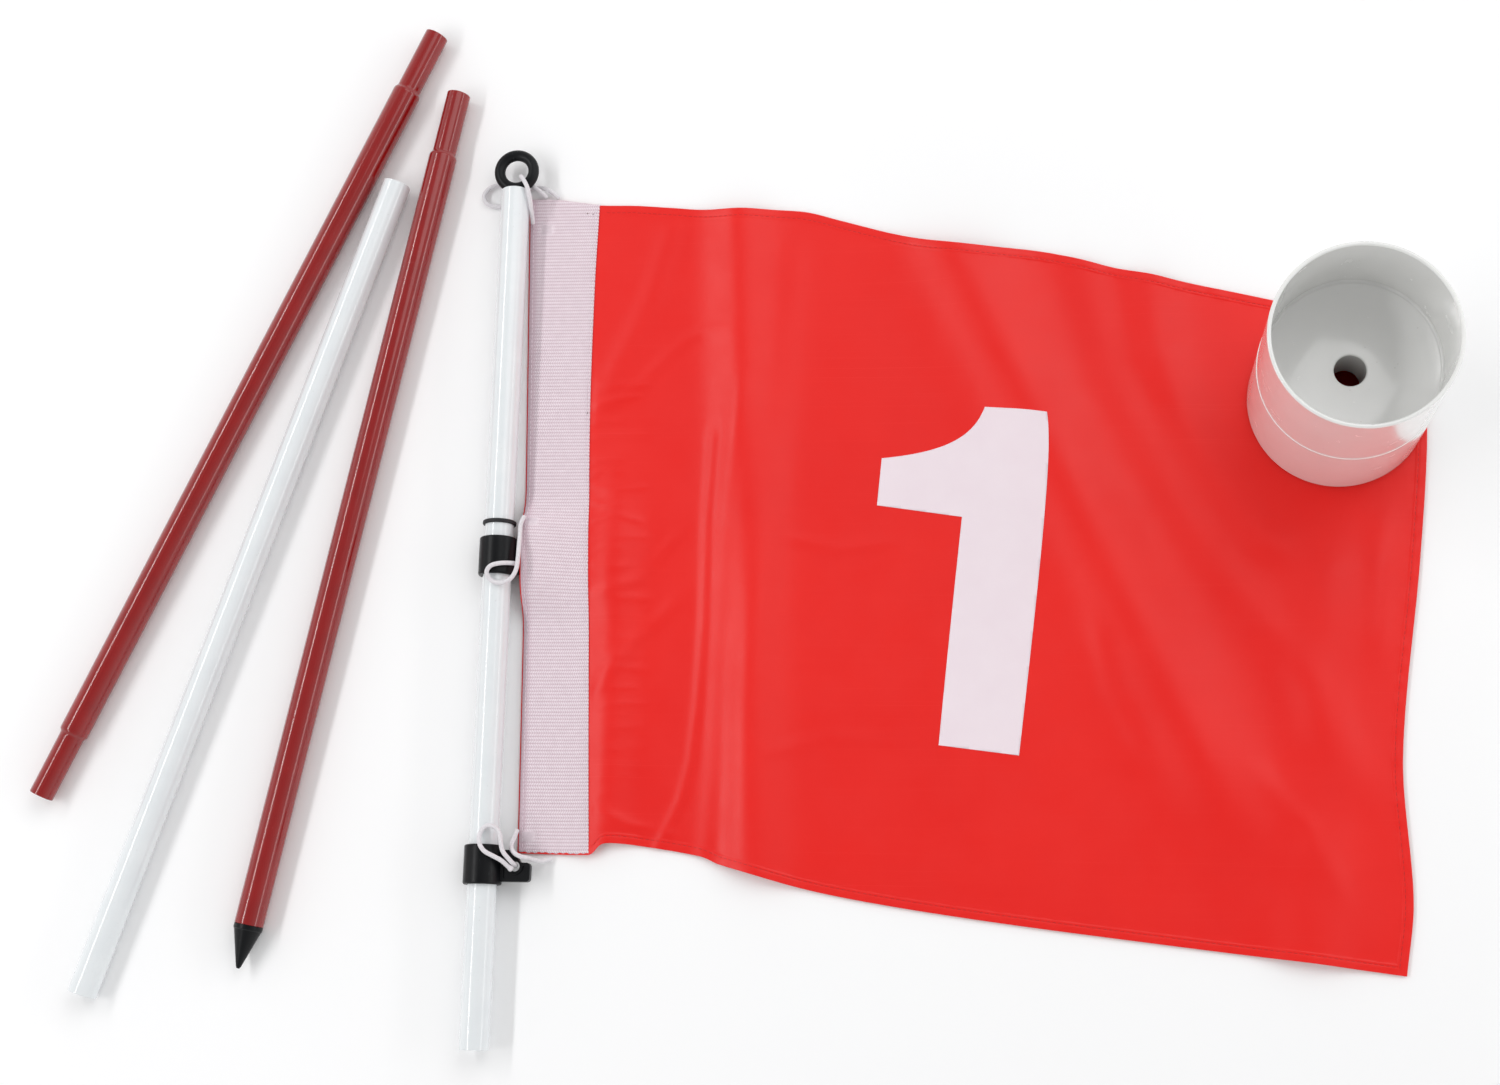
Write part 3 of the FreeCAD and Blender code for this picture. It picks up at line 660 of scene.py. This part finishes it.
def makePuckers():
    made = []
    y = pucker["top"]
    while y > pucker["foot"]:
        x = float(smoothThrough(cloth["tape"], y)) + random.uniform(*pucker["offTape"])
        reach = random.uniform(*pucker["reach"])
        bend = random.uniform(*pucker["bend"])
        route = [(x, y), (x + reach * 0.5, y + bend), (x + reach, y + bend * random.uniform(0.2, 1.6))]
        strong = 1.0 if pucker["strong"][0] < y < pucker["strong"][1] else 0.55
        made.append((route, random.uniform(*pucker["wide"]), strong * random.uniform(*pucker["high"])))
        y -= random.uniform(*pucker["gap"])
    return made


puckers = makePuckers()


def wrinkles(x, y):
    high = np.zeros(x.shape)
    for route, wide, rise in creases + puckers:
        high = high + softFold(x, y, route, wide, rise, 2.5 * wide)
    clear = ease((x - smoothThrough(cloth["tape"], y) - 0.4) / 3.5)
    return high * clear * clearOfCup(x, y, "creases")


def hemLift(x, y, toTop, toLow, toFly):
    # folded hems with a row of stitches drawn into them, and gathers along the seam
    high = np.zeros(x.shape)
    # the top hem fades out towards the header
    fadeStart, fadeReach = cloth["topFade"]
    topFade = ease((x - fadeStart) / fadeReach)
    wide = cloth["hemWide"]
    slope = cloth["hemSlope"]
    seam = wide - cloth["seamInset"]
    for away, along, strength in ((toTop, x, topFade), (toLow, x, 0.8), (toFly, y, 1.0)):
        shown = 0.35 + 0.65 * topFade if away is toTop else 1.0
        folded = 1 - ease((away - wide + slope / 2) / slope)
        high = np.maximum(high, shown * cloth["hemThick"] * folded)
        groove = cloth["grooveDeep"] * np.exp(-((away - seam) / cloth["grooveWide"]) ** 2)
        gather = np.sin(along / 1.9 + 1.7 * np.sin(along / 13.0)) + 0.6 * np.sin(along / 4.3)
        near = np.exp(-((away - seam) / cloth["gatherWide"]) ** 2)
        high = high - groove + cloth["gather"] * strength * gather * near
    return high * clearOfCup(x, y, "hems")


def clothPlace(s, t):
    hoist = smoothThrough(cloth["hoist"], cloth["hoistFrom"] + cloth["hoistLong"] * t)
    fly = smoothThrough(cloth["fly"], cloth["flyFrom"] + cloth["flyLong"] * t)
    x = hoist + s * (fly - hoist)
    low = smoothThrough(cloth["low"], x)
    top = smoothThrough(cloth["top"], x)
    y = low + t * (top - low)
    high = clothHeight(x, y) + wrinkles(x, y)
    high = high + hemLift(x, y, (1 - t) * (top - low), t * (top - low), (1 - s) * (fly - hoist))
    return x, y, high


def stepsAcross(length, fineAtStart, fineAtEnd):
    # parameters from 0 to 1, close together where a hem is
    fine = cloth["edgeStep"]
    hem = cloth["hemWide"] + 1.6
    start = list(np.arange(0.0, hem, fine)) if fineAtStart else [0.0]
    end = [length - v for v in reversed(list(np.arange(0.0, hem, fine)))] if fineAtEnd else [length]
    gap = end[0] - start[-1]
    count = int(gap / cloth["step"])
    middle = [start[-1] + gap * k / count for k in range(1, count)]
    return np.array(start + middle + end) / length


def layFlag(material):
    across = stepsAcross(cloth["across"], False, True)
    up = stepsAcross(cloth["up"], True, True)
    s, t = np.meshgrid(across, up)
    x, y, z = clothPlace(s, t)
    points = np.stack([x, y, z + cloth["lift"]], axis=-1).reshape(-1, 3) * mm
    piece = newMesh("flag_fabric", points, gridFaces(len(across), len(up)))
    thicken(piece, cloth["thick"])
    cast(piece, "flag", material, "flag_cloth")
    print("flag laid")
    return piece


# stitches: short rounded dashes of thread

thread = {
    "pitch": 3.0,
    "length": 2.3,
    "radius": 0.15,
    "tapeRadius": 0.2,
    "holeRadius": 0.3,
    "tackPitch": 0.5,
    "sides": 6,
}
# along a stitch: where, how thick, how high
stitchRings = ((0.0, 0.25, -0.6), (0.14, 0.9, 0.0), (0.5, 1.0, 0.35), (0.86, 0.9, 0.0), (1.0, 0.25, -0.6))


def dashes(name, runs, material, radius):
    sides = thread["sides"]
    points = []
    faces = []
    for a, b in runs:
        a = Vector(a)
        b = Vector(b)
        ahead = (b - a).normalized()
        side = ahead.cross(Vector((0, 0, 1))).normalized()
        up = side.cross(ahead)
        first = len(points)
        for at, swell, rise in stitchRings:
            centre = a.lerp(b, at) + up * (rise * radius)
            for k in range(sides):
                angle = 2 * math.pi * k / sides
                spoke = side * math.cos(angle) + up * math.sin(angle)
                points.append((centre + spoke * (radius * swell)) * mm)
        last = len(stitchRings) - 1
        for ring in range(last):
            for k in range(sides):
                p = first + ring * sides + k
                q = first + ring * sides + (k + 1) % sides
                faces.append((p, q, q + sides, p + sides))
        faces.append(tuple(first + k for k in reversed(range(sides))))
        faces.append(tuple(first + last * sides + k for k in range(sides)))
    piece = newMesh(name, points, faces)
    return cast(piece, "flag", material)


def seamRuns(places, lift):
    # dashes along a line of (x, y, z) places
    places = np.array(places)
    gaps = np.hypot(np.diff(places[:, 0]), np.diff(places[:, 1]))
    at = np.concatenate([[0.0], np.cumsum(gaps)])
    runs = []
    for k in range(int(at[-1] / thread["pitch"])):
        ends = [k * thread["pitch"], k * thread["pitch"] + thread["length"]]
        x, y, z = (np.interp(ends, at, places[:, n]) for n in (0, 1, 2))
        runs.append(((x[0], y[0], z[0] + lift), (x[1], y[1], z[1] + lift)))
    return runs


def sewHems(material):
    inset = cloth["hemWide"] - cloth["seamInset"]
    s = np.linspace(cloth["seamFrom"], 1.0 - inset / cloth["across"], 500)
    up = np.full(s.shape, inset / cloth["up"])
    lines = [(s, up), (s, 1 - up)]
    t = np.linspace(inset / cloth["flyUp"], 1 - inset / cloth["flyUp"], 400)
    lines.append((np.full(t.shape, 1.0 - inset / cloth["flySide"]), t))
    runs = []
    for across, along in lines:
        x, y, z = clothPlace(across, along)
        runs += seamRuns(np.stack([x, y, z], axis=-1), cloth["lift"] + cloth["thick"] + 0.04)
    clear = [run for run in runs if farFromCup(run[0][0], run[0][1]) > cup["stitches"]]
    piece = dashes("hem_stitches", clear, material, thread["radius"])
    print("hems sewn with", len(clear), "stitches")
    return piece


# header tape: ribbed weave

tape = {
    "wide": 39.0,
    "long": 376.0,
    "base": 0.95,
    "thick": 0.75,
    "ribPitch": 1.95,
    "yarnPitch": 1.3,
    "relief": 0.34,
    "scallop": 0.28,
    "stepX": 0.32,
    "stepY": 0.3,
    "inset": 0.7,
    "footInset": 0.7,
    "rollWide": 0.9,
    "rollDeep": 0.45,
    "seams": (0.055, 0.955),
}

# sewn patches on the tape that hold the cords: middle, size
bartacks = [((-107.6, 172.0), (7.0, 5.6)), ((-106.6, -2.5), (6.0, 4.6)), ((-102.6, -178.0), (7.0, 5.0))]
# needle holes in the tape, drawn as dark dashes of painted shade
needleHoles = [(-84.2, 181.2), (-80.9, 180.7), (-79.3, 62.0)]


def tapeRelief(x, y, left):
    # ribs across the tape, with yarns that lean one way and then the other
    row = y / tape["ribPitch"]
    rowIndex = np.floor(row)
    inRow = row - rowIndex
    lean = (inRow - 0.5) * np.where(rowIndex % 2 == 0, 0.9, -0.9)
    drift = 0.25 * np.sin(x / 9.0 + y / 31.0)
    yarn = np.cos(math.pi * (x / tape["yarnPitch"] + lean + drift)) ** 2
    rib = np.sin(math.pi * inRow) ** 0.7
    plain = ease((x - left - 1.5) / 4.5)
    high = rib * (0.16 + 0.84 * yarn * (0.35 + 0.65 * plain))
    return tape["relief"] * high * (0.55 + 0.45 * plain)


def tapePlace(s, t):
    yGuess = cloth["hoistFrom"] + tape["long"] * t
    left = smoothThrough(cloth["hoist"], yGuess) + tape["inset"]
    right = smoothThrough(cloth["tape"], yGuess)
    x = left + s * (right - left)
    low = smoothThrough(cloth["low"][:2], x) + tape["footInset"]
    low = low + 0.25 * np.sin(x / 0.62) + 0.2 * np.sin(x / 1.9 + 1.0)
    top = smoothThrough(cloth["top"], x) + 0.15
    y = low + t * (top - low)
    scallop = tape["scallop"] * np.abs(np.sin(math.pi * y / tape["ribPitch"]))
    x = x + scallop * ease((s - 0.96) / 0.04)
    high = tapeRelief(x, y, left)
    # the sewn patches press the weave flat
    for (cx, cy), (wide, tall) in bartacks:
        inside = np.exp(-((x - cx) / wide * 1.7) ** 4 - ((y - cy) / tall * 1.7) ** 4)
        high = high * (1 - 0.75 * inside) + 0.16 * inside
    wavy = 0.15 * np.sin(y / 21.0 + 1.5 * np.sin(y / 47.0)) * ease((s - 0.3) / 0.7)
    edge = np.minimum(np.minimum(s, 1 - s) * tape["wide"], np.minimum(t, 1 - t) * tape["long"])
    roll = tape["rollDeep"] * (1 - ease(edge / tape["rollWide"]))
    z = clothHeight(x, y) + tape["base"] + tape["thick"] + high + 0.5 * (wavy + 0.15) - roll
    return x, y, z, high


def layTape(material):
    across = np.linspace(0.0, 1.0, int(tape["wide"] / tape["stepX"]))
    up = np.linspace(0.0, 1.0, int(tape["long"] / tape["stepY"]))
    s, t = np.meshgrid(across, up)
    x, y, z, relief = tapePlace(s, t)
    top = np.stack([x, y, z], axis=-1).reshape(-1, 3)
    wide = len(across)
    rim = list(range(wide)) + [r * wide + wide - 1 for r in range(1, len(up))]
    rim += [len(top) - 1 - k for k in range(1, wide)] + [r * wide for r in range(len(up) - 2, 0, -1)]
    # a skirt from the rim down to the cloth
    foot = top[rim].copy()
    foot[:, 2] = clothHeight(foot[:, 0], foot[:, 1]) + tape["base"] - 0.02
    points = np.concatenate([top, foot]) * mm
    faces = gridFaces(wide, len(up))
    count = len(rim)
    for k in range(count):
        a = rim[k]
        b = rim[(k + 1) % count]
        faces.append((b, a, len(top) + k, len(top) + (k + 1) % count))
    piece = newMesh("tape_weave", points, faces)
    # the weave's height, which the tape's material uses to paint shade into the low places between ribs and
    # yarns
    crest = piece.data.attributes.new("crest", "FLOAT", "POINT")
    tall = np.zeros(len(points), dtype=np.float32)
    tall[:len(top)] = np.clip(relief.reshape(-1) / tape["relief"], 0.0, 1.0)
    crest.data.foreach_set("value", tall)
    cast(piece, "flag", material, "header_tape")
    print("tape laid")
    return piece


def sewTape(material, dark):
    runs = []
    for s in tape["seams"]:
        t = np.linspace(0.006, 0.994, 600)
        x, y = tapePlace(np.full(t.shape, s), t)[:2]
        z = clothHeight(x, y) + tape["base"] + tape["thick"] + 0.42
        runs += seamRuns(np.stack([x, y, z], axis=-1), 0.0)
    for (cx, cy), (wide, tall) in bartacks:
        count = int(tall / thread["tackPitch"])
        for k in range(count):
            y = cy - tall / 2 + tall * (k + 0.5) / count
            x = np.array([cx - wide / 2, cx + wide / 2]) + random.uniform(-0.25, 0.25)
            ends = np.array([y - 0.12, y + 0.12])
            z = clothHeight(x, ends) + tape["base"] + tape["thick"] + 0.3
            runs.append(((x[0], ends[0], z[0]), (x[1], ends[1], z[1])))
    piece = dashes("tape_stitches", runs, material, thread["tapeRadius"])
    # painted shade: a dark dash over each needle hole stands in for the shade inside it
    dots = []
    for x, y in needleHoles:
        z = float(clothHeight(np.array([x]), np.array([y]))[0]) + tape["base"] + tape["thick"] + 0.4
        dots.append(((x - 0.35, y, z), (x + 0.35, y, z)))
    holes = dashes("needle_holes", dots, dark, thread["holeRadius"])
    print("tape sewn")
    return [piece, holes]


# numeral

numeral = {
    "gap": 0.06,
    "thick": 0.1,
    "cell": 2.0,
    "box": ((84.0, 184.0), (-134.0, 66.0)),
}


def numeralOutline():
    # flag of the numeral, then down its right side and up its left
    points = bezier((88.0, 34.7), (118.0, 37.5), (138.0, 44.0), (145.1, 62.9), 24)
    points += [(145.1, 62.9)]
    points += bezier((179.4, 58.4), (182.0, 38.0), (180.0, 10.0), (164.9, -131.3), 40)
    points += [(164.9, -131.3)]
    points += bezier((121.5, -126.0), (125.0, -84.0), (129.0, -40.0), (132.9, 1.0), 30)
    points += [(132.9, 1.0), (85.8, 7.8)]
    return points


def layNumeral(material):
    shape = bmesh.new()
    shape.faces.new([shape.verts.new((x, y, 0.0)) for x, y in numeralOutline()])
    # cut into small cells, so that the numeral can follow the cloth
    cell = numeral["cell"]
    for axis, (low, high) in enumerate(numeral["box"]):
        at = low
        while at < high:
            place = [0.0, 0.0, 0.0]
            place[axis] = at
            normal = [0.0, 0.0, 0.0]
            normal[axis] = 1.0
            everything = list(shape.verts) + list(shape.edges) + list(shape.faces)
            bmesh.ops.bisect_plane(shape, geom=everything, plane_co=place, plane_no=normal)
            at += cell
    x = np.array([v.co.x for v in shape.verts])
    y = np.array([v.co.y for v in shape.verts])
    z = clothHeight(x, y) + wrinkles(x, y) + cloth["lift"] + cloth["thick"] + numeral["gap"]
    for vertex, place in zip(shape.verts, zip(x, y, z)):
        vertex.co = [float(v) * mm for v in place]
    bmesh.ops.recalc_face_normals(shape, faces=shape.faces)
    if sum(face.normal.z for face in shape.faces) < 0:
        bmesh.ops.reverse_faces(shape, faces=shape.faces)
    mesh = bpy.data.meshes.new("numeral_print")
    shape.to_mesh(mesh)
    shape.free()
    piece = bpy.data.objects.new("numeral_print", mesh)
    bpy.context.scene.collection.objects.link(piece)
    for face in mesh.polygons:
        face.use_smooth = True
    thicken(piece, numeral["thick"])
    cast(piece, "flag", material, "numeral_patch")
    print("numeral laid")
    return piece


# poles, clips, cup and the other hard pieces

# which way each tube lies, in degrees from +X, for the lines in its paint
heading = {"top": 90.0, "plain": 72.1, "middle": 65.75, "spike": 79.13}
sharpAngle = 32.0


def dressFrame():
    whiteTube = ((0.80, 0.83, 0.845, 1), (0.765, 0.80, 0.82, 1), (0.62, 0.63, 0.63, 1))
    redTube = ((0.275, 0.0045, 0.0045, 1), (0.24, 0.004, 0.004, 1), (0.36, 0.03, 0.03, 1))
    finishes = {
        "top_pole_tube": paintMaterial("whitePaintTop", *whiteTube, heading["top"]),
        "plain_pole_tube": paintMaterial("whitePaintPlain", *whiteTube, heading["plain"]),
        "middle_pole_tube": paintMaterial("redPaintMiddle", *redTube, heading["middle"]),
        "spike_pole_tube": paintMaterial("redPaintSpike", *redTube, heading["spike"]),
        "eye_finial": plasticMaterial(),
        "stop_ring": rubberMaterial(),
        "cup_shell": cupMaterial(),
    }
    for node in ("upper_clip", "lower_clip", "ground_spike"):
        finishes[node] = finishes["eye_finial"]
    for node, material in finishes.items():
        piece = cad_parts[node]
        piece.data.materials.clear()
        piece.data.materials.append(material)
        for face in piece.data.polygons:
            face.use_smooth = True
        piece.data.set_sharp_from_angle(angle=math.radians(sharpAngle))
    print("frame dressed")


# studio

studio = {
    "floor": 3.0,
    "floorTone": (0.975, 0.975, 0.98, 1),
    "skyHigh": 0.36,
    "skyLow": 1.15,
    "strip": {"place": (-1.13, 0.05, 1.28), "size": (1.9, 0.10), "power": 10.0},
    "fill": {"place": (1.35, 0.1, 0.62), "size": (1.6, 0.16), "power": 3.0},
    "soft": {"place": (0.8, 1.1, 1.7), "size": (1.5, 1.5), "power": 9.5},
}


def areaLight(name, place, size, power):
    data = bpy.data.lights.new(name, "AREA")
    data.shape = "RECTANGLE"
    data.size = size[0]
    data.size_y = size[1]
    data.energy = power
    lamp = bpy.data.objects.new(name, data)
    lamp.location = place
    lamp.rotation_euler = (Vector((0, 0, 0)) - Vector(place)).to_track_quat("-Z", "Y").to_euler()
    bpy.context.scene.collection.objects.link(lamp)


def buildStudio():
    half = studio["floor"]
    corners = [(-half, -half, 0), (half, -half, 0), (half, half, 0), (-half, half, 0)]
    floor = newMesh("floor", corners, [(0, 1, 2, 3)])
    s = Shader("floor")
    s.set(Base_Color=studio["floorTone"], Roughness=0.9, Specular_IOR_Level=0.1)
    floor.data.materials.append(s.material)
    floor.location.z = -0.0002
    world = bpy.data.worlds.new("room")
    world.use_nodes = True
    tree = world.node_tree
    height = tree.nodes.new("ShaderNodeSeparateXYZ")
    tree.links.new(tree.nodes.new("ShaderNodeTexCoord").outputs["Generated"], height.inputs[0])
    fade = tree.nodes.new("ShaderNodeMapRange")
    fade.inputs["To Min"].default_value = studio["skyLow"]
    fade.inputs["To Max"].default_value = studio["skyHigh"]
    tree.links.new(height.outputs["Z"], fade.inputs["Value"])
    tree.nodes["Background"].inputs["Color"].default_value = (1, 1, 1, 1)
    tree.links.new(fade.outputs["Result"], tree.nodes["Background"].inputs["Strength"])
    bpy.context.scene.world = world
    bpy.context.scene.view_settings.view_transform = "Standard"
    for name in ("strip", "fill", "soft"):
        areaLight(name, **studio[name])
    print("studio lit")


def main():
    aimCamera()
    layCords()
    redThread = yarnMaterial("hemThread", (0.62, 0.018, 0.016, 1), (0.45, 0.012, 0.011, 1))
    whiteThread = yarnMaterial("tapeThread", (0.86, 0.76, 0.81, 1), (0.74, 0.64, 0.69, 1))
    # painted shade for the needle holes
    paintedHoleShade = yarnMaterial("needleHoleShade", (0.20, 0.10, 0.11, 1), (0.12, 0.06, 0.07, 1))
    flag = layFlag(nylonMaterial())
    sewn = [sewHems(redThread), layTape(tapeMaterial()), layNumeral(numeralMaterial())]
    sewn += sewTape(whiteThread, paintedHoleShade)
    dressFrame()
    buildStudio()


main()
